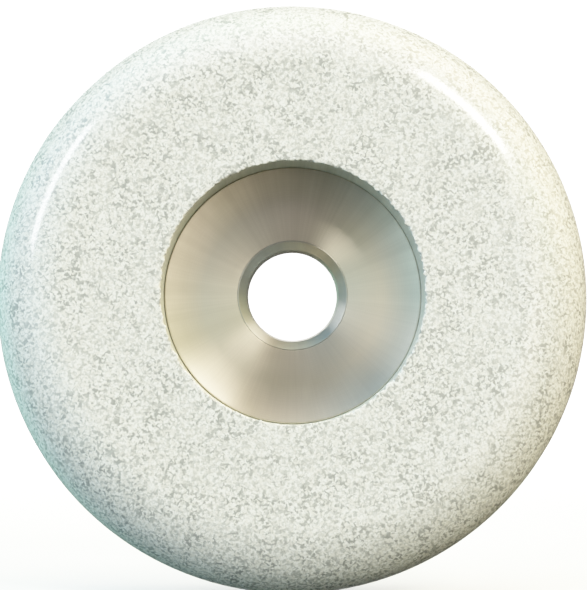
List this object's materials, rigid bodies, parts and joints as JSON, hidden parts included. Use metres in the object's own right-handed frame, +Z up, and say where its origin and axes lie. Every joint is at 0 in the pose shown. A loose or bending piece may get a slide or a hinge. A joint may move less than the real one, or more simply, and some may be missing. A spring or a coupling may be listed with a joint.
{
  "type": "felt polishing wheel",
  "caption": "Round-edged felt polishing wheel on a turned metal hub, recessed on both faces, with a conical-mouthed bush for a spindle.",
  "frame": {"origin": "middle of the spindle bore, half way through the wheel's width", "axes": "+Y along the spin axis, out of the rear face; -Y out of the front face with the dished disc; +Z up"},
  "size_m": [0.15, 0.035, 0.15],
  "materials": {
    "felt": "hard pressed wool felt with grey fleck, sealed to a gloss",
    "cement": "set cement",
    "sleeve_alloy": "bored, dull",
    "turned_alloy": "faced on a lathe, fine rings",
    "bush_steel": "turned",
    "screw_steel": "blackened"
  },
  "bodies": {
    "root": {"felt_ring": "felt", "bond_film": "cement", "hub_sleeve": "sleeve_alloy", "front_disc": "turned_alloy", "rear_disc": "turned_alloy", "bore_bush": "bush_steel", "clamp_screw_1": "screw_steel", "clamp_screw_2": "screw_steel", "clamp_screw_3": "screw_steel", "clamp_screw_4": "screw_steel", "clamp_screw_5": "screw_steel", "clamp_screw_6": "screw_steel"}
  },
  "joints": []
}
